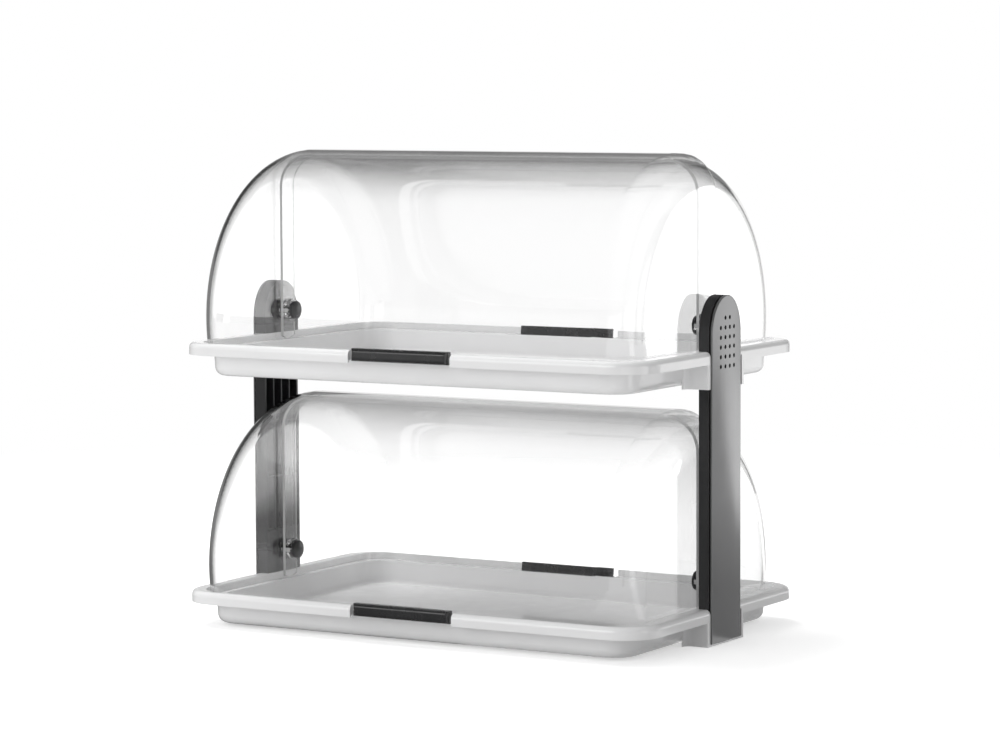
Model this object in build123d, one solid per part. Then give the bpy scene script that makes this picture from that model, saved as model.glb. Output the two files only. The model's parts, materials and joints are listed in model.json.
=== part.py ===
"""Countertop bread display bin with two tiers and roll-top covers.

Two moulded trays are carried one above the other by a post at each end. Every tray is
closed by two clear quarter-drum covers that turn on one pivot line: the front cover is
the outer one and rolls back over the rear cover, the rear cover rolls forward under it.

X runs along the length, -Y is the front, +Z is up. The origin is at the middle of the
footprint, on the surface that the bin stands on. All sizes are in millimetres.
"""
from build123d import *
from math import sqrt
import os

# ---- trays ----
tray_length = 490.0
tray_depth = 319.0
tray_height = 33.5  # underside of the docks to the top of the rim
tray_corner_radius = 36.0
step_corner_radius = 30.0  # recess that the covers sit in
well_corner_radius = 28.0  # outside of the well
tier_gap = 22.3  # top of a closed cover to the underside of the tray above
rim_height = 11.3  # outer skirt of the rim
rim_band_end = 15.0  # flat top of the rim outside the covers' seat, at the ends
rim_band_side = 5.8  # the same, along the front and the rear
rim_rounding = 5.0
rim_skirt_wall = 2.4
rim_groove_depth = 2.0  # hollow under the ledge, between skirt and well
ledge_drop = 6.5  # the covers' seat below the top of the rim
well_inset_end = 21.5  # rim edge to the outside of the well, at the ends
well_inset_side = 14.5  # the same, along the front and the rear
well_wall = 3.0
well_floor = 2.5
well_draft = 4.0  # degrees
well_bottom_rounding = 8.0
well_inner_rounding = 5.5
foot_height = 2.5
foot_radius = 7.0
foot_inset = 34.0  # from the well's outside to a foot's centre

# ---- covers ----
cover_wall = 2.7
cover_end_rounding = 35.2  # between the drum and the end walls
nest_gap = 2.55  # air between the outer and the inner cover
cover_overlap = 12.7  # how far each cover reaches past the pivot line
pivot_above_rim = 21.2
seat_clearance = 0.3  # covers above their ledge
rim_clearance = 1.2  # covers to the step of the rim
boss_radius = 9.0
boss_clearance = 0.3
boss_height = 0.6  # ring on the outside of the outer cover
inner_boss_radius = 10.5
inner_boss_height = 3.6  # ring on the inside of the inner cover

# ---- posts ----
post_width = 56.2
post_depth = 10.2
post_apex_above_pivot = 28.1
post_top_rise = 34.3  # height of the half-elliptical top
post_inner_gap = 4.2  # outer cover to the inner face of a post
post_web = 2.4
post_edge_wall = 2.4
rib_thickness = 1.6
rib_count = 3
cross_rib_pitch = 52.0
pivot_pad_reach = 20.0  # solid part of the post above the lower pivot
strip_gap = 0.3  # air between a post and its outer strip
strip_groove = 1.9  # shadow groove between a post and the face of its strip
strip_groove_depth = 2.0
strip_thickness = 1.4  # face of the strip, at its edges
strip_crown = 0.9
strip_rounding = 0.7
strip_peg_radius = 2.0
strip_peg_length = 1.6
strip_peg_count = 3
peg_clearance = 0.05
vent_radius = 1.95
vent_pitch_across = 8.6
vent_pitch_up = 8.7
vent_rows = (2, 4, 4, 4, 4, 4)
vent_top_above_pivot = 8.0

# ---- docks that hold the posts ----
dock_cheek = 4.6
dock_floor = 2.2
dock_clearance = 0.3
dock_cove = 7.0
flange_reach = 4.6  # locating flange on one long edge of a post
flange_thickness = 7.0
flange_setback = 0.5  # behind the outer face of the post
screw_radius = 1.75
screw_head_radius = 3.6
screw_head_height = 2.2
screw_spacing = 28.0
screw_height = 13.0  # above the underside of the dock
screw_bite = 6.5  # thread inside the dock
screw_clearance = 0.05

# ---- pivots ----
pin_radius = 3.0
pin_clearance = 0.08
pin_head_radius = 6.0
pin_head_height = 2.0
knob_radius = 8.5
knob_thickness = 4.6
knob_dome = 1.6
knob_bore_depth = 2.6
knob_gap = 0.3  # knob to the inner cover
spacer_radius = 8.5
spacer_gap = 0.15

# ---- grips on the covers ----
grip_length = 101.0
grip_above_rim = 1.9
grip_height = 11.7
grip_proud = 0.9  # beyond the outer face of the rim
grip_rounding = 3.4
grip_end_gap = 3.0
grip_ledge_gap = 0.3
rear_grip_thickness = 2.0  # thin, so that it passes under the front cover
rear_grip_grooves = 4
rear_grip_groove_radius = 0.7
grip_peg_radius = 2.4
grip_peg_inset = 14.0

cut = 1.0  # how far a cutting shape runs past what it cuts

# ---- levels and places that follow ----
ledge_z = tray_height - ledge_drop
pivot_z = tray_height + pivot_above_rim
seat_drop = pivot_z - ledge_z - seat_clearance  # pivot line to the covers' lower edge
well_x = tray_length / 2 - well_inset_end
well_y = tray_depth / 2 - well_inset_side
well_bottom_z = foot_height
step_x = tray_length / 2 - rim_band_end
step_y = tray_depth / 2 - rim_band_side
cover_length = 2 * (step_x - rim_clearance)  # outer cover, over its two end walls
cover_radius = sqrt((step_y - rim_clearance) ** 2 + pivot_above_rim**2)  # about the pivot line
tier_pitch = pivot_z + cover_radius + tier_gap  # one tray to the next
nest_step = cover_wall + nest_gap
inner_length = cover_length - 2 * nest_step
inner_radius = cover_radius - nest_step
post_x = cover_length / 2 + post_inner_gap  # inner face of a post
post_outer_x = post_x + post_depth
post_top_pivot_z = tier_pitch + pivot_z
post_top_z = post_top_pivot_z + post_apex_above_pivot
strip_x = post_outer_x + strip_gap
strip_face_x = post_outer_x + strip_groove
knob_base_x = inner_length / 2 - cover_wall - inner_boss_height - knob_gap
notch_x = post_x - dock_clearance
notch_y = post_width / 2 + dock_clearance
flange_y = post_width / 2 + flange_reach
tiers = {"lower": 0.0, "upper": tier_pitch}
sides = {"left": 180.0, "right": 0.0}


def rounded_slab(half_x, half_y, radius, z_low, z_high):
    """Flat block with rounded corners, between two heights."""
    outline = RectangleRounded(2 * half_x, 2 * half_y, radius)
    return extrude(Pos(0, 0, z_low) * outline, z_high - z_low)


def span_box(x_low, x_high, y_low, y_high, z_low, z_high):
    """Block between its lowest and highest corners."""
    size = (x_high - x_low, y_high - y_low, z_high - z_low)
    middle = ((x_low + x_high) / 2, (y_low + y_high) / 2, (z_low + z_high) / 2)
    return Pos(*middle) * Box(*size)


def x_rod(radius, x_low, x_high, y=0.0, z=0.0):
    """Round bar along X."""
    return Pos((x_low + x_high) / 2, y, z) * Rot(0, 90, 0) * Cylinder(radius, x_high - x_low)


def tapered_well(inset, z_top, z_bottom, corner, bottom_rounding):
    """Tapered tub form, widest at the top, with a rounded bottom edge."""
    outline = RectangleRounded(2 * (well_x - inset), 2 * (well_y - inset), corner)
    tub = extrude(Pos(0, 0, z_top) * outline, z_bottom - z_top, taper=well_draft)
    bottom = tub.faces().sort_by(Axis.Z)[0]
    return fillet(bottom.edges(), bottom_rounding)


def rim():
    """Rolled rim: a flat band with a rounded outer edge and a skirt below it."""
    half_x, half_y = tray_length / 2, tray_depth / 2
    skirt_z = tray_height - rim_height
    band = rounded_slab(half_x, half_y, tray_corner_radius, skirt_z, tray_height)
    band = fillet(band.faces().sort_by(Axis.Z)[-1].edges(), rim_rounding)
    corner = tray_corner_radius - rim_skirt_wall
    groove_top = skirt_z + rim_groove_depth
    groove = rounded_slab(
        half_x - rim_skirt_wall, half_y - rim_skirt_wall, corner, skirt_z, groove_top
    )
    return band - groove


def dock():
    """Pocket at the right-hand end that a post stands in, open outwards."""
    skirt_x = tray_length / 2
    cheek_front = -notch_y - dock_cheek
    cheek_rear = flange_y + dock_clearance + dock_cheek
    block = span_box(well_x - well_wall, skirt_x, cheek_front, cheek_rear, 0, ledge_z)
    upright = block.edges().filter_by(Axis.Z).group_by(Axis.X)[-1]
    block = fillet(upright, dock_cheek / 3)
    cove_top = tray_height - rim_height + rim_groove_depth
    for y, turn in ((cheek_front, 180.0), (cheek_rear, -90.0)):
        block += Pos(well_x - well_wall / 2, y, 0) * Rot(0, 0, turn) * cove_strip(cove_top)
    return block


def cove_strip(height):
    """Concave fillet strip with its corner on the Z axis, opening to -X and +Y."""
    square = Pos(-dock_cove / 2, dock_cove / 2) * Rectangle(dock_cove, dock_cove)
    round_off = Pos(-dock_cove, dock_cove) * Circle(dock_cove)
    return extrude(square - round_off, height)


def dock_notch(z_low):
    """Space that the post and its locating flange pass through."""
    outside = tray_length
    top = tray_height + rim_rounding
    post_room = span_box(notch_x, outside, -notch_y, notch_y, z_low, top)
    flange_low = post_outer_x - flange_setback - flange_thickness - dock_clearance
    flange_room = span_box(flange_low, outside, 0, flange_y + dock_clearance, z_low, tray_height)
    flange_room -= span_box(flange_low, outside, notch_y, outside, ledge_z, top)
    return post_room + flange_room


def grip_notch():
    """Break in the rim for the grip of a cover, cut at the front."""
    half = grip_length / 2 + grip_end_gap
    inner = inner_radius_at(grip_drop_low()) - grip_ledge_gap
    notch = span_box(-half, half, -tray_depth, -inner, 0, tray_height + rim_rounding)
    ends = notch.edges().filter_by(Axis.Z).group_by(Axis.Y)[-1]
    return fillet(ends, grip_end_gap)


def grip_drop_low():
    """Pivot line down to the underside of a grip."""
    return pivot_above_rim - grip_above_rim + grip_height


def inner_radius_at(drop):
    """Reach of the inner cover's outside, a given drop below the pivot line."""
    return sqrt(inner_radius**2 - drop**2)


def tray(floor):
    """One tray; the lower tray closes its docks with a floor."""
    tub = tapered_well(0.0, ledge_z, well_bottom_z, well_corner_radius, well_bottom_rounding)
    body = rim() + tub + dock() + Rot(0, 0, 180) * dock()
    step = rounded_slab(step_x, step_y, step_corner_radius, ledge_z, tray_height + cut)
    corner = well_corner_radius - well_wall
    inside_floor = well_bottom_z + well_floor
    inside = tapered_well(well_wall, ledge_z + cut, inside_floor, corner, well_inner_rounding)
    body -= step
    body -= inside
    for turn in sides.values():
        body -= Rot(0, 0, turn) * dock_notch(dock_floor if floor else -cut)
        for y in (-screw_spacing / 2, screw_spacing / 2):
            bore = x_rod(screw_radius + screw_clearance, notch_x - screw_bite - cut, notch_x + cut, y)
            body -= Rot(0, 0, turn) * Pos(0, 0, screw_height) * bore
        body -= Rot(0, 0, turn) * grip_notch()
    return body


def drum(length, radius, rounding):
    """Solid drum about the X axis with rounded ends."""
    half = length / 2
    with BuildPart() as solid:
        with BuildSketch(Plane.XY) as section:
            with Locations((0, radius / 2)):
                Rectangle(length, radius)
            rim_corners = section.vertices().group_by(Axis.Y)[-1]
            fillet(rim_corners, rounding)
        revolve(axis=Axis.X)
    return solid.part


def cover_side_outline(radius):
    """Side view of a front cover about its pivot: drum quarter, overlap and rounded heel."""
    reach = radius + cut
    above = Pos((cover_overlap - reach) / 2, reach / 2) * Rectangle(reach + cover_overlap, reach)
    below = Pos(-reach / 2, -seat_drop / 2) * Rectangle(reach, seat_drop)
    heel_room = Pos(cover_overlap / 2, -seat_drop / 2) * Rectangle(cover_overlap, seat_drop)
    heel = Circle(seat_drop) & heel_room
    return above + below + heel


def cover(length, radius, rounding):
    """Clear cover with its pivot line on the X axis, shown as a front cover."""
    shell = drum(length, radius, rounding)
    shell -= drum(length - 2 * cover_wall, radius - cover_wall, rounding - cover_wall)
    outline = Plane.YZ * cover_side_outline(radius)
    keep = Pos(-length / 2 - cut, 0, 0) * extrude(outline, length + 2 * cut)
    return shell & keep


def pivot_bores(length):
    """Bores for the pins through both end walls of a cover."""
    reach = length / 2 + nest_step
    return x_rod(pin_radius + pin_clearance, -reach, reach)


def boss_rings(radius, x_low, x_high):
    """Raised rings round the two pivots."""
    rings = Part()
    for turn in sides.values():
        rings += Rot(0, 0, turn) * x_rod(radius, x_low, x_high)
    return rings


def grip_peg_bores(radius, outer):
    """Bores in a front cover's wall for the pegs of its grip."""
    bores = Part()
    for x in (-1, 1):
        bores += Pos(x * (grip_length / 2 - grip_peg_inset), 0, 0) * grip_peg(radius, outer)
    return bores


def grip_peg(radius, outer):
    """Round peg along Y through the lower edge of a cover."""
    drop = pivot_above_rim - grip_above_rim + grip_height / 2
    inner = sqrt((outer - cover_wall) ** 2 - drop**2) - cut
    bar = Rot(90, 0, 0) * Cylinder(radius, outer + cut - inner)
    return Pos(0, -(outer + cut + inner) / 2, -drop) * bar


def outer_cover():
    """Front cover: the outer quarter drum."""
    body = cover(cover_length, cover_radius, cover_end_rounding)
    body += boss_rings(boss_radius, cover_length / 2 - cut, cover_length / 2 + boss_height)
    body -= pivot_bores(cover_length)
    return body - grip_peg_bores(grip_peg_radius + peg_clearance, cover_radius)


def inner_cover():
    """Rear cover: the inner quarter drum, made as a front cover and turned round."""
    body = cover(inner_length, inner_radius, cover_end_rounding - nest_step)
    outside, inside = inner_length / 2, inner_length / 2 - cover_wall
    body += boss_rings(boss_radius, outside - cut, outside + nest_gap - boss_clearance)
    body += boss_rings(inner_boss_radius, inside - inner_boss_height, inside + cut)
    body -= pivot_bores(inner_length)
    body -= grip_peg_bores(grip_peg_radius + peg_clearance, inner_radius)
    return Rot(0, 0, 180) * body


def grip_pegs(outer):
    """Pegs of a grip, flush with the inside of the cover that carries it."""
    wall_inner = x_rod(outer - cover_wall, -grip_length, grip_length)
    pegs = Part()
    for x in (-1, 1):
        place = Pos(x * (grip_length / 2 - grip_peg_inset), 0, 0)
        pegs += place * (grip_peg(grip_peg_radius, outer) - wall_inner)
    return pegs


def front_grip():
    """Black handle on the lower edge of the front cover, shaped to the drum behind it."""
    z_low = -grip_drop_low()
    face_y = tray_depth / 2 + grip_proud
    back_y = sqrt(cover_radius**2 - grip_drop_low() ** 2) - cut
    half = grip_length / 2
    bar = span_box(-half, half, -face_y, -back_y, z_low, z_low + grip_height)
    front = bar.faces().sort_by(Axis.Y)[0]
    bar = fillet(front.edges(), grip_rounding)
    bar -= x_rod(cover_radius, -half - cut, half + cut)
    return bar + grip_pegs(cover_radius)


def rear_grip():
    """Thin grooved grip on the lower edge of the rear cover, made as a front one and turned round."""
    half = grip_length / 2
    z_low = -grip_drop_low()
    outer = inner_radius + rear_grip_thickness
    span = span_box(-half, half, -outer - cut, 0, z_low, z_low + grip_height)
    bar = span & (x_rod(outer, -half, half) - x_rod(inner_radius, -half, half))
    spacing = grip_height / (rear_grip_grooves + 1)
    for index in range(rear_grip_grooves):
        z = z_low + (index + 1) * spacing
        y = sqrt(outer**2 - z**2)
        bar -= x_rod(rear_grip_groove_radius, -half - cut, half + cut, -y, z)
    body = (bar + grip_pegs(inner_radius)) & x_rod(outer, -half, half)
    return Rot(0, 0, 180) * body


def post_outline(grow=0.0):
    """Outline of a post in the YZ plane, with a half-elliptical top."""
    half = post_width / 2 + grow
    foot = dock_floor - grow
    shoulder = post_top_z - post_top_rise
    height = shoulder - foot
    shaft = Pos(0, foot + height / 2) * Rectangle(2 * half, height)
    return shaft + Pos(0, shoulder) * Ellipse(half, post_top_rise + grow)


def post_plate(x_low, thickness, grow=0.0):
    """Post outline made into a plate."""
    return Pos(x_low, 0, 0) * extrude(Plane.YZ * post_outline(grow), thickness)


def rib_pockets():
    """Hollows between the ribs on the inner side of a post."""
    low = pivot_z + pivot_pad_reach
    high = tier_pitch
    span = post_width - 2 * post_edge_wall
    bay = (span - rib_count * rib_thickness) / (rib_count + 1)
    cells = max(1, round((high - low) / cross_rib_pitch))
    cell = (high - low - (cells - 1) * rib_thickness) / cells
    pockets = Part()
    for column in range(rib_count + 1):
        y = -span / 2 + column * (bay + rib_thickness)
        for row in range(cells):
            z = low + row * (cell + rib_thickness)
            pockets += span_box(post_x - cut, post_outer_x - post_web, y, y + bay, z, z + cell)
    return pockets


def post_body():
    """Right-hand post: a ribbed channel with solid ends round its pivots."""
    body = post_plate(post_x, post_depth) - rib_pockets()
    flange_x = post_outer_x - flange_setback
    for base, height in ((0.0, dock_floor), (tier_pitch, 0.0)):
        low, high = base + height, base + ledge_z - dock_clearance
        body += span_box(flange_x - flange_thickness, flange_x, 0, flange_y, low, high)
    for base in tiers.values():
        level = base + pivot_z
        body -= x_rod(pin_radius + pin_clearance, post_x - cut, post_outer_x + cut, 0, level)
        head_x = post_outer_x - pin_head_height - pin_clearance
        body -= x_rod(pin_head_radius + pin_clearance, head_x, post_outer_x + cut, 0, level)
        for y in (-screw_spacing / 2, screw_spacing / 2):
            z = base + screw_height
            body -= x_rod(screw_radius + screw_clearance, post_x - cut, post_outer_x + cut, y, z)
            head_x = post_outer_x - screw_head_height - screw_clearance
            body -= x_rod(screw_head_radius + screw_clearance, head_x, post_outer_x + cut, y, z)
    return body - strip_pegs(strip_peg_radius + peg_clearance, strip_peg_length + peg_clearance)


def strip_pegs(radius, length):
    """Pegs that hold the outer strip on its post, spread evenly between the two pivots."""
    low = pivot_z + pivot_pad_reach
    spacing = (tier_pitch - low) / strip_peg_count
    pegs = Part()
    for index in range(strip_peg_count):
        level = low + (index + 1 / 2) * spacing
        pegs += x_rod(radius, post_outer_x - length, strip_x + strip_thickness / 2, 0, level)
    return pegs


def crowned_blank():
    """Bar with a slightly convex outer face that the strip's face is cut from."""
    half = post_width / 2
    edge_x = strip_face_x + strip_thickness
    with BuildPart() as bar:
        with BuildSketch(Plane.XY):
            with BuildLine():
                Line((strip_face_x, -half), (edge_x, -half))
                ThreePointArc((edge_x, -half), (edge_x + strip_crown, 0), (edge_x, half))
                Line((edge_x, half), (strip_face_x, half))
                Line((strip_face_x, half), (strip_face_x, -half))
            make_face()
        extrude(amount=post_top_pivot_z + post_width)
    return bar.part


def vent_holes():
    """Round holes in rows below the top of the strip."""
    holes = Part()
    high_x = strip_face_x + 2 * strip_thickness
    for row, count in enumerate(vent_rows):
        z = post_top_pivot_z + vent_top_above_pivot - row * vent_pitch_up
        for column in range(count):
            y = (column - (count - 1) / 2) * vent_pitch_across
            holes += x_rod(vent_radius, strip_x - cut, high_x, y, z)
    return holes


def post_strip():
    """Outer strip of the right-hand post: a crowned face on a smaller backing plate."""
    body = post_plate(strip_face_x, 2 * strip_thickness) & crowned_blank()
    outer_face = body.faces().sort_by(Axis.X)[-1]
    body = fillet(outer_face.edges(), strip_rounding)
    body += post_plate(strip_x, strip_face_x - strip_x, -strip_groove_depth)
    return body - vent_holes() + strip_pegs(strip_peg_radius, strip_peg_length)


def pivot_pin():
    """Headed pin from the outer face of a post to the inner cover."""
    head_low = post_outer_x - pin_head_height
    shank = x_rod(pin_radius, knob_base_x - knob_bore_depth, head_low)
    return shank + x_rod(pin_head_radius, head_low, post_outer_x)


def pivot_knob():
    """Domed knob on the inner end of a pin."""
    tip = knob_base_x - knob_thickness
    dome_radius = (knob_radius**2 + knob_dome**2) / (2 * knob_dome)
    dome = Pos(tip + dome_radius, 0, 0) * Sphere(dome_radius)
    head = x_rod(knob_radius, tip, knob_base_x) & dome
    return head - x_rod(pin_radius, knob_base_x - knob_bore_depth, knob_base_x + cut)


def pivot_spacer():
    """Ring between a post and the outer cover."""
    low = cover_length / 2 + boss_height + spacer_gap
    ring = x_rod(spacer_radius, low, post_x - spacer_gap)
    return ring - x_rod(pin_radius + pin_clearance, low - cut, post_x + cut)


def dock_screws():
    """Screws of one tier, through both posts into the docks."""
    screws = []
    head_low = post_outer_x - screw_head_height
    for turn in sides.values():
        for y in (-screw_spacing / 2, screw_spacing / 2):
            shank = x_rod(screw_radius, notch_x - screw_bite, head_low, y, screw_height)
            head = x_rod(screw_head_radius, head_low, post_outer_x, y, screw_height)
            screws.append(Rot(0, 0, turn) * (shank + head))
    return Compound(children=screws)


def rubber_feet():
    """Four round feet under the lower tray."""
    feet = []
    for x in (-1, 1):
        for y in (-1, 1):
            place = Pos(x * (well_x - foot_inset), y * (well_y - foot_inset), foot_height / 2)
            feet.append(place * Cylinder(foot_radius, foot_height))
    return Compound(children=feet)


def save(name, shape):
    """Write one sub-part."""
    export_step(shape, f"parts/{name}.step")


def main():
    os.makedirs("parts", exist_ok=True)
    save("rubber_feet", rubber_feet())
    front, rear = outer_cover(), inner_cover()
    front_handle, rear_handle = front_grip(), rear_grip()
    pin, knob, spacer = pivot_pin(), pivot_knob(), pivot_spacer()
    for tier, base in tiers.items():
        level = Pos(0, 0, base + pivot_z)
        save(f"{tier}_tray", Pos(0, 0, base) * tray(tier == "lower"))
        save(f"{tier}_dock_screws", Pos(0, 0, base) * dock_screws())
        save(f"{tier}_front_cover", level * front)
        save(f"{tier}_rear_cover", level * rear)
        save(f"{tier}_front_grip", level * front_handle)
        save(f"{tier}_rear_grip", level * rear_handle)
        for side, turn in sides.items():
            place = level * Rot(0, 0, turn)
            save(f"{tier}_{side}_pivot_pin", place * pin)
            save(f"{tier}_{side}_pivot_knob", place * knob)
            save(f"{tier}_{side}_pivot_spacer", place * spacer)
    body, strip = post_body(), post_strip()
    for side, turn in sides.items():
        save(f"{side}_post_body", Rot(0, 0, turn) * body)
        save(f"{side}_post_cover", Rot(0, 0, turn) * strip)


main()
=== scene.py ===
"""Looks of the countertop bread display bin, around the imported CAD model.

Every surface of the CAD nodes gets a procedural finish here: glossy white trays, clear
moulded covers, satin posts and black grips. The stage is a white floor under soft light.
All lengths are in metres, in the frame of the CAD model.
"""
import json
from math import cos, radians, sin

import bpy
from mathutils import Matrix, Vector

# ---- camera ----
SENSOR_WIDTH = 36.0  # millimetres
FRAME_WIDTH = 1000.0  # pixels
CAMERA_PLACE = Vector((1.70162, -2.86418, 0.52476))
CAMERA_YAW = 30.55  # degrees, from straight at the front towards the right-hand end
CAMERA_PITCH = -5.01
CAMERA_ROLL = -0.25
CAMERA_FOCAL = 3600.32  # pixels
CAMERA_SHIFT_Y = -0.41  # pixels

# ---- stage ----
FLOOR_SIZE = 5.0
FLOOR_FADE = (0.75, 1.6)  # the floor fades from lit to plain white between these radii
FLOOR_ALBEDO = 0.8
FLOOR_GLOW = 0.50
FLOOR_MIRRORED_SHADE = 0.50  # painted shade: brightness of the near floor in mirrors, in shares of the far one
FLOOR_MIRRORED_SHADE_FADE = (0.5, 1.3)  # radii of the near and of the far floor in mirrors, across which the painted shade fades out
WHITE = 1.0  # brightness of the plain background
WHITE_THROUGH = 1.08  # the same behind clear plastic, which takes some of it away

# ---- lamps ----
LAMP_TARGET = (0.0, 0.0, 0.2)
KEY_PLACE = (-0.7, -2.7, 0.95)
KEY_SIZE = (2.2, 1.4)
KEY_POWER = 20.0  # watts
TOP_PLACE = (-1.0, 0.2, 2.3)
TOP_SIZE = (1.6, 1.2)
TOP_POWER = 41.0  # watts

# ---- studio ----
FILL_LEFT = 0.70  # fill light, which neither the camera nor mirrors see, from the left
FILL_RIGHT = 0.44
STUDIO_AXIS = (-0.858, -0.506, 0.0)  # towards the dark left-hand side of the studio
# brightness that mirrors see, from straight against that axis (0) to straight along it (1)
STUDIO_WALLS = ((0.13, 1.0), (0.56, 1.0), (0.61, 0.22), (0.85, 0.22), (0.95, 0.36))
# two dark slits and a brighter panel in the white side, which draw the thin lines
STUDIO_SLITS = (
    (0.008, 1.0), (0.012, 0.05), (0.030, 0.05), (0.036, 2.1), (0.10, 2.1), (0.13, 1.0),
    (0.20, 1.0), (0.215, 0.15), (0.25, 0.15), (0.265, 1.0),
)
FLOOR_PANEL = ((0.045, 1.0), (0.055, 2.4), (0.10, 2.4))  # the panel once more, on the floor
CEILING_DARK = 0.24  # brightness overhead, in shares of the walls'
CEILING_EDGE = (0.11, 0.15)  # sine of the height above the horizon

# ---- moulded plastics ----
DRIFT_SCALE = 14.0  # cells per metre
GLOSS_SCALE = 60.0

# ---- clear covers ----
COVER_IOR = 1.49
COVER_HAZE = 0.012  # greatest roughness
COVER_HAZE_SCALE = 35.0  # cells per metre
COVER_RIPPLE_SCALE = 16.0
COVER_RIPPLE_DEPTH = 0.00012
COVER_PASSES = 0.99  # share of a lamp's light that one surface lets through
COVER_ABSORPTION = 0.6  # per metre
EDGE_GLOSS_FROM = 0.38  # where the extra gloss starts, from square on (0) to edge on (1)
EDGE_GLOSS_POWER = 1.3
EDGE_GLOSS_ROUGHNESS = 0.03
SAWN_REACH = (0.0135, 0.0145)  # the sawn edges lie this near the plane of the pivot lines
SAWN_FACING = (0.97, 0.99)  # and face across that plane
SAWN_FROST = 0.75
SAWN_WHITE = 0.85

# ---- light paths ----
BOUNCES = 48
SEE_THROUGH_BOUNCES = 24


def new_material(name):
    """A node material with an empty tree, and its output node."""
    material = bpy.data.materials.new(name)
    material.use_nodes = True
    nodes = material.node_tree.nodes
    nodes.clear()
    return material, material.node_tree, nodes.new("ShaderNodeOutputMaterial")


def grey(level):
    """Opaque grey colour of one level."""
    return (level, level, level, 1.0)


def principled(tree, **sockets):
    """A Principled shader with the given plain socket values."""
    shader = tree.nodes.new("ShaderNodeBsdfPrincipled")
    for name, value in sockets.items():
        shader.inputs[name.replace("_", " ")].default_value = value
    return shader


def noise(tree, scale, detail):
    """Noise over the object's own coordinates. The scale is in cells per metre."""
    place = tree.nodes.new("ShaderNodeTexCoord")
    texture = tree.nodes.new("ShaderNodeTexNoise")
    texture.inputs["Scale"].default_value = scale
    texture.inputs["Detail"].default_value = detail
    tree.links.new(place.outputs["Object"], texture.inputs["Vector"])
    return texture.outputs["Fac"]


def spread(tree, source, low, high, start=0.3, end=0.7):
    """Map a source's range from start to end onto low to high. Noise mostly fills 0.3 to 0.7."""
    node = tree.nodes.new("ShaderNodeMapRange")
    node.inputs["From Min"].default_value = start
    node.inputs["From Max"].default_value = end
    node.inputs["To Min"].default_value = low
    node.inputs["To Max"].default_value = high
    tree.links.new(source, node.inputs["Value"])
    return node.outputs["Result"]


def combine(tree, operation, first, second):
    """Result of a Math node with two linked numbers."""
    node = tree.nodes.new("ShaderNodeMath")
    node.operation = operation
    tree.links.new(first, node.inputs[0])
    tree.links.new(second, node.inputs[1])
    return node.outputs["Value"]


def tone(tree, source, low, high):
    """Colour between two others, driven by a 0 to 1 source."""
    ramp = tree.nodes.new("ShaderNodeMix")
    ramp.data_type = "RGBA"
    ramp.inputs["A"].default_value = (*low, 1.0)
    ramp.inputs["B"].default_value = (*high, 1.0)
    tree.links.new(source, ramp.inputs["Factor"])
    return ramp.outputs["Result"]


def dim(tree, colour, factor, level):
    """A linked colour that is multiplied by a level where the factor is 1."""
    node = tree.nodes.new("ShaderNodeMix")
    node.data_type = "RGBA"
    node.blend_type = "MULTIPLY"
    node.inputs["B"].default_value = grey(level)
    tree.links.new(factor, node.inputs["Factor"])
    tree.links.new(colour, node.inputs["A"])
    return node.outputs["Result"]


def bump(tree, source, depth):
    """Surface relief from a 0 to 1 source. The depth is in metres."""
    node = tree.nodes.new("ShaderNodeBump")
    node.inputs["Distance"].default_value = depth
    tree.links.new(source, node.inputs["Height"])
    return node.outputs["Normal"]


def glow(tree, strength, colour=None):
    """Emission with a plain or linked strength and an optional linked colour."""
    node = tree.nodes.new("ShaderNodeEmission")
    if isinstance(strength, float):
        node.inputs["Strength"].default_value = strength
    else:
        tree.links.new(strength, node.inputs["Strength"])
    if colour is not None:
        tree.links.new(colour, node.inputs["Color"])
    return node.outputs["Emission"]


def blend_by(tree, factor, first, second):
    """Mix of two shaders by a linked factor."""
    mix = tree.nodes.new("ShaderNodeMixShader")
    tree.links.new(factor, mix.inputs["Fac"])
    tree.links.new(first, mix.inputs[1])
    tree.links.new(second, mix.inputs[2])
    return mix.outputs["Shader"]


def moulded_plastic(name, dark, light, rough, grain, grain_depth, **sockets):
    """Moulded plastic: faint tone drift, uneven gloss and a fine surface grain.

    The tone lies between dark and light, and the roughness between the two values of rough.
    The grain is in cells per metre.
    """
    material, tree, output = new_material(name)
    shader = principled(tree, **sockets)
    drift = spread(tree, noise(tree, DRIFT_SCALE, detail=3.0), 0.0, 1.0)
    tree.links.new(tone(tree, drift, dark, light), shader.inputs["Base Color"])
    gloss = spread(tree, noise(tree, GLOSS_SCALE, detail=4.0), *rough)
    tree.links.new(gloss, shader.inputs["Roughness"])
    relief = bump(tree, noise(tree, grain, detail=2.0), grain_depth)
    tree.links.new(relief, shader.inputs["Normal"])
    tree.links.new(shader.outputs["BSDF"], output.inputs["Surface"])
    return material


def tray_white():
    """Glossy white plastic with the slight ripple of a moulded surface."""
    return moulded_plastic(
        "tray_white", dark=(0.83, 0.83, 0.833), light=(0.86, 0.86, 0.863),
        rough=(0.16, 0.24), grain=90.0, grain_depth=0.00004,
        IOR=1.5, Coat_Weight=0.6, Coat_Roughness=0.06,
    )


def post_dark():
    """Dark satin plastic with a fine spark-eroded grain."""
    return moulded_plastic(
        "post_dark", dark=(0.011, 0.011, 0.012), light=(0.017, 0.017, 0.018),
        rough=(0.42, 0.55), grain=1400.0, grain_depth=0.00002, IOR=1.5,
    )


def post_grey():
    """Mid grey satin plastic of the outer strips, with a metallic sheen and a fine grain."""
    return moulded_plastic(
        "post_grey", dark=(0.165, 0.165, 0.167), light=(0.18, 0.18, 0.182),
        rough=(0.12, 0.16), grain=1400.0, grain_depth=0.00001, IOR=1.5, Metallic=0.55,
    )


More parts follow.
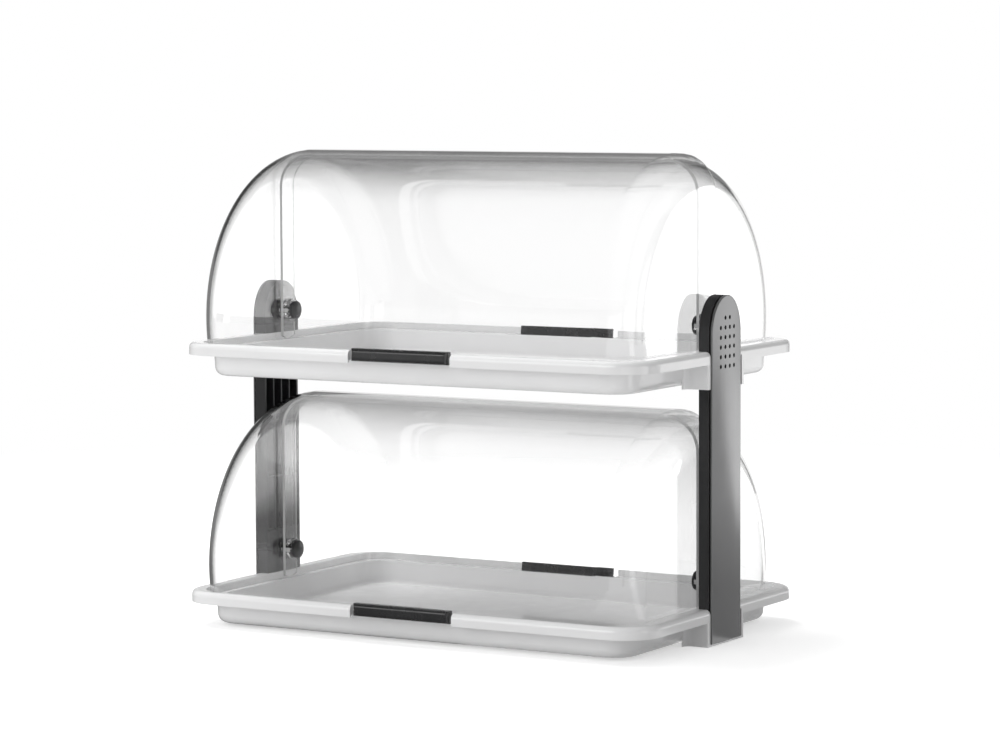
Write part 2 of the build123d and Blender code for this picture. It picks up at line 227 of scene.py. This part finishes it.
def pivot_black():
    """Black satin plastic of the knobs, pins and spacers."""
    return moulded_plastic(
        "pivot_black", dark=(0.010, 0.010, 0.011), light=(0.015, 0.015, 0.016),
        rough=(0.24, 0.34), grain=1100.0, grain_depth=0.00002, IOR=1.5,
    )


def grip_black():
    """Black plastic of the grips, a little worn and uneven in its gloss."""
    return moulded_plastic(
        "grip_black", dark=(0.018, 0.018, 0.019), light=(0.026, 0.026, 0.027),
        rough=(0.20, 0.30), grain=700.0, grain_depth=0.00001,
        IOR=1.6, Coat_Weight=0.3, Coat_Roughness=0.1,
    )


def screw_steel():
    """Bright screw steel with a fine grain."""
    return moulded_plastic(
        "screw_steel", dark=(0.50, 0.50, 0.51), light=(0.60, 0.60, 0.61),
        rough=(0.24, 0.38), grain=2200.0, grain_depth=0.00001, Metallic=1.0,
    )


def foot_rubber():
    """Soft black rubber, matt and slightly dusty."""
    return moulded_plastic(
        "foot_rubber", dark=(0.020, 0.020, 0.020), light=(0.035, 0.035, 0.034),
        rough=(0.70, 0.90), grain=900.0, grain_depth=0.00003, IOR=1.5,
    )


def grazing(tree):
    """0 where a surface is seen square on, rising to 1 where it is seen edge on."""
    weight = tree.nodes.new("ShaderNodeLayerWeight")
    weight.inputs["Blend"].default_value = 0.5  # an even rise
    slant = spread(tree, weight.outputs["Facing"], 0.0, 1.0, EDGE_GLOSS_FROM, 1.0)
    curve = tree.nodes.new("ShaderNodeMath")
    curve.operation = "POWER"
    curve.inputs[1].default_value = EDGE_GLOSS_POWER
    tree.links.new(slant, curve.inputs[0])
    return curve.outputs["Value"]


def y_size(tree, output):
    """Size of the Y part of one of the object's own vectors, its place or its normal."""
    place = tree.nodes.new("ShaderNodeTexCoord")
    split = tree.nodes.new("ShaderNodeSeparateXYZ")
    tree.links.new(place.outputs[output], split.inputs["Vector"])
    size = tree.nodes.new("ShaderNodeMath")
    size.operation = "ABSOLUTE"
    tree.links.new(split.outputs["Y"], size.inputs[0])
    return size.outputs["Value"]


def sawn_edges(tree):
    """Share of frost: on the sawn edges of the covers along the pivot line, 0 elsewhere."""
    near = spread(tree, y_size(tree, "Object"), 1.0, 0.0, *SAWN_REACH)
    facing = spread(tree, y_size(tree, "Normal"), 0.0, 1.0, *SAWN_FACING)
    both = combine(tree, "MULTIPLY", near, facing)
    return spread(tree, both, 0.0, SAWN_FROST, 0.0, 1.0)


def clear_plastic():
    """Clear moulded plastic: it bends light by its own thickness and greys at its edges.

    Lamps and scattered light pass straight through, so that the trays are lit under it.
    """
    material, tree, output = new_material("clear_plastic")
    glass = principled(tree, Transmission_Weight=1.0, IOR=COVER_IOR)
    glass.inputs["Base Color"].default_value = grey(1.0)
    haze = spread(tree, noise(tree, COVER_HAZE_SCALE, detail=3.0), 0.0, COVER_HAZE)
    tree.links.new(haze, glass.inputs["Roughness"])
    ripple = bump(tree, noise(tree, COVER_RIPPLE_SCALE, detail=1.0), COVER_RIPPLE_DEPTH)
    tree.links.new(ripple, glass.inputs["Normal"])
    gloss = tree.nodes.new("ShaderNodeBsdfGlossy")
    gloss.inputs["Roughness"].default_value = EDGE_GLOSS_ROUGHNESS
    tree.links.new(ripple, gloss.inputs["Normal"])
    glazed = blend_by(tree, grazing(tree), glass.outputs["BSDF"], gloss.outputs["BSDF"])
    frost = tree.nodes.new("ShaderNodeBsdfDiffuse")
    frost.inputs["Color"].default_value = grey(SAWN_WHITE)
    cut = blend_by(tree, sawn_edges(tree), glazed, frost.outputs["BSDF"])
    clear = tree.nodes.new("ShaderNodeBsdfTransparent")
    clear.inputs["Color"].default_value = grey(COVER_PASSES)
    path = tree.nodes.new("ShaderNodeLightPath")
    lights = combine(
        tree, "MAXIMUM", path.outputs["Is Shadow Ray"], path.outputs["Is Diffuse Ray"]
    )
    surface = blend_by(tree, lights, cut, clear.outputs["BSDF"])
    tree.links.new(surface, output.inputs["Surface"])
    absorb = tree.nodes.new("ShaderNodeVolumeAbsorption")
    absorb.inputs["Color"].default_value = grey(0.0)
    absorb.inputs["Density"].default_value = COVER_ABSORPTION
    tree.links.new(absorb.outputs["Volume"], output.inputs["Volume"])
    return material


def material_slots(frame):
    """Material slot of each CAD node, by the node's name."""
    return {part["node"]: part["material_slot"] for part in frame["record"]["subparts"]}


def dress(frame):
    """Give each CAD node the finish of its material slot."""
    finishes = {
        "tray_white": tray_white(),
        "clear_cover": clear_plastic(),
        "post_dark": post_dark(),
        "post_grey": post_grey(),
        "grip_black": grip_black(),
        "pivot_black": pivot_black(),
        "screw_steel": screw_steel(),
        "foot_rubber": foot_rubber(),
    }
    slots = material_slots(frame)
    for name, node in frame["nodes"].items():
        node.data.materials.clear()
        node.data.materials.append(finishes[slots[name]])


def seen_directly(tree):
    """1 for camera, mirror and see-through rays, 0 for rays that only light things."""
    path = tree.nodes.new("ShaderNodeLightPath")
    value = path.outputs["Is Camera Ray"]
    for name in ("Is Glossy Ray", "Is Transmission Ray"):
        value = combine(tree, "MAXIMUM", value, path.outputs[name])
    return value


def unmirrored(tree):
    """1 for rays that no surface has mirrored on their way from the camera."""
    path = tree.nodes.new("ShaderNodeLightPath")
    test = tree.nodes.new("ShaderNodeMath")
    test.operation = "LESS_THAN"
    test.inputs[1].default_value = 0.5  # the depth is a whole number, 0 before any mirror
    tree.links.new(path.outputs["Glossy Depth"], test.inputs[0])
    return test.outputs["Value"]


def plain_white(tree):
    """Brightness of the white background, a little higher behind clear plastic."""
    path = tree.nodes.new("ShaderNodeLightPath")
    return spread(tree, path.outputs["Is Transmission Ray"], WHITE, WHITE_THROUGH, 0.0, 1.0)


def studio_walls(tree, direction, walls):
    """What mirrors see in a direction, from the walls' pairs of a position and a level."""
    along = tree.nodes.new("ShaderNodeVectorMath")
    along.operation = "DOT_PRODUCT"
    along.inputs[1].default_value = STUDIO_AXIS
    tree.links.new(direction, along.inputs[0])
    ramp = tree.nodes.new("ShaderNodeValToRGB")
    tree.links.new(spread(tree, along.outputs["Value"], 0.0, 1.0, -1.0, 1.0), ramp.inputs["Fac"])
    stops = ramp.color_ramp.elements
    for stop, (position, level) in zip(stops, (walls[0], walls[-1])):
        stop.position, stop.color = position, grey(level)
    for position, level in walls[1:-1]:
        stops.new(position).color = grey(level)
    return ramp.outputs["Color"]


def add_floor():
    """White floor that keeps the shadow near the object and is plain white further out.

    Mirrors see the studio in it, with a painted shade that darkens it near the object.
    """
    bpy.ops.mesh.primitive_plane_add(size=FLOOR_SIZE)
    floor = bpy.context.object
    floor.name = "floor"
    material, tree, output = new_material("floor_white")
    matt = tree.nodes.new("ShaderNodeBsdfDiffuse")
    matt.inputs["Color"].default_value = grey(FLOOR_ALBEDO)
    lit = tree.nodes.new("ShaderNodeAddShader")
    tree.links.new(matt.outputs["BSDF"], lit.inputs[0])
    tree.links.new(glow(tree, FLOOR_GLOW), lit.inputs[1])
    place = tree.nodes.new("ShaderNodeTexCoord")
    reach = tree.nodes.new("ShaderNodeVectorMath")
    reach.operation = "LENGTH"
    tree.links.new(place.outputs["Object"], reach.inputs[0])
    bearing = tree.nodes.new("ShaderNodeVectorMath")
    bearing.operation = "NORMALIZE"
    tree.links.new(place.outputs["Object"], bearing.inputs[0])
    walls = studio_walls(tree, bearing.outputs["Vector"], FLOOR_PANEL + STUDIO_WALLS)
    # painted shade: in mirrors the floor is darker near the object, in place of its shadow
    near = spread(tree, reach.outputs["Value"], 1.0, 0.0, *FLOOR_MIRRORED_SHADE_FADE)
    mirrored = glow(tree, WHITE, dim(tree, walls, near, FLOOR_MIRRORED_SHADE))
    far = spread(tree, reach.outputs["Value"], 0.0, 1.0, *FLOOR_FADE)
    direct = blend_by(tree, far, lit.outputs["Shader"], glow(tree, plain_white(tree)))
    seen = blend_by(tree, unmirrored(tree), mirrored, direct)
    final = blend_by(tree, seen_directly(tree), matt.outputs["BSDF"], seen)
    tree.links.new(final, output.inputs["Surface"])
    floor.data.materials.append(material)


def add_world():
    """White surround, the studio that mirrors see, and a fill light, strongest from the left.

    Only rays that no surface has mirrored see the plain white, so the covers are clear from
    every side, and their edges and glossy parts show the studio.
    """
    world = bpy.data.worlds.new("studio")
    bpy.context.scene.world = world
    world.use_nodes = True
    tree = world.node_tree
    tree.nodes.clear()
    output = tree.nodes.new("ShaderNodeOutputWorld")
    place = tree.nodes.new("ShaderNodeTexCoord")
    direction = place.outputs["Generated"]
    split = tree.nodes.new("ShaderNodeSeparateXYZ")
    tree.links.new(direction, split.inputs["Vector"])
    overhead = spread(tree, split.outputs["Z"], 0.0, 1.0, *CEILING_EDGE)
    walls = studio_walls(tree, direction, STUDIO_SLITS + STUDIO_WALLS[1:])
    mirrored = glow(tree, WHITE, dim(tree, walls, overhead, CEILING_DARK))
    seen = blend_by(tree, unmirrored(tree), mirrored, glow(tree, plain_white(tree)))
    rightwards = spread(tree, split.outputs["X"], 0.0, 1.0, -1.0, 1.0)
    fill = glow(tree, WHITE, tone(tree, rightwards, (FILL_LEFT,) * 3, (FILL_RIGHT,) * 3))
    surround = blend_by(tree, seen_directly(tree), fill, seen)
    tree.links.new(surround, output.inputs["Surface"])


def lit_parts(frame):
    """Everything but the clear covers, which would mirror the lamps as bright squares."""
    group = bpy.data.collections.new("lit_parts")
    slots = material_slots(frame)
    for name, node in frame["nodes"].items():
        if slots[name] != "clear_cover":
            group.objects.link(node)
    group.objects.link(bpy.data.objects["floor"])
    return group


def add_lamp(receivers, name, place, size, power):
    """Soft lamp that looks at the object and lights only the given parts."""
    light = bpy.data.lights.new(name, "AREA")
    light.shape = "RECTANGLE"
    light.size, light.size_y = size
    light.energy = power
    lamp = bpy.data.objects.new(name, light)
    bpy.context.scene.collection.objects.link(lamp)
    lamp.location = place
    lamp.visible_transmission = False
    lamp.light_linking.receiver_collection = receivers
    aim = Vector(LAMP_TARGET) - Vector(place)
    lamp.rotation_euler = aim.to_track_quat("-Z", "Y").to_euler()
    return lamp


def add_camera():
    """Camera at the photograph's viewing angle."""
    yaw, pitch, roll = radians(CAMERA_YAW), radians(CAMERA_PITCH), radians(CAMERA_ROLL)
    forward = Vector((-sin(yaw) * cos(pitch), cos(yaw) * cos(pitch), sin(pitch)))
    level = Vector((cos(yaw), sin(yaw), 0.0))
    upright = level.cross(forward)
    right = level * cos(roll) + upright * sin(roll)
    up = upright * cos(roll) - level * sin(roll)
    data = bpy.data.cameras.new("camera")
    data.sensor_width = SENSOR_WIDTH
    data.lens = CAMERA_FOCAL * SENSOR_WIDTH / FRAME_WIDTH
    data.shift_y = CAMERA_SHIFT_Y / FRAME_WIDTH
    camera = bpy.data.objects.new("camera", data)
    bpy.context.scene.collection.objects.link(camera)
    turn = Matrix((right, up, -forward)).transposed()
    camera.matrix_world = Matrix.Translation(CAMERA_PLACE) @ turn.to_4x4()
    bpy.context.scene.camera = camera


def set_bounces():
    """Enough bounces for light to leave the edges of the clear covers."""
    cycles = bpy.context.scene.cycles
    cycles.max_bounces = BOUNCES
    cycles.transmission_bounces = BOUNCES
    cycles.glossy_bounces = BOUNCES
    cycles.transparent_max_bounces = SEE_THROUGH_BOUNCES


with open("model.json") as file:
    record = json.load(file)
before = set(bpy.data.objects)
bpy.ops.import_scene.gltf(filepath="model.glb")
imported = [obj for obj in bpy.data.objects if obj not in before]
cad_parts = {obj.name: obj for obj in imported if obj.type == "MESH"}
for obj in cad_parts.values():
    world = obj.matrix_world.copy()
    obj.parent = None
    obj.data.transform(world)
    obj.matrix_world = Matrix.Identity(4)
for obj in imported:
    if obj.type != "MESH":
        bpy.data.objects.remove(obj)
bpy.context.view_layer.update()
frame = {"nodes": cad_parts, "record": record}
bpy.context.scene.view_settings.view_transform = "Standard"
set_bounces()
add_camera()
dress(frame)
add_floor()
add_world()
receivers = lit_parts(frame)
add_lamp(receivers, "key", KEY_PLACE, KEY_SIZE, KEY_POWER)
top = add_lamp(receivers, "top", TOP_PLACE, TOP_SIZE, TOP_POWER)
top.visible_glossy = False  # it would show as a glare on the trays from above
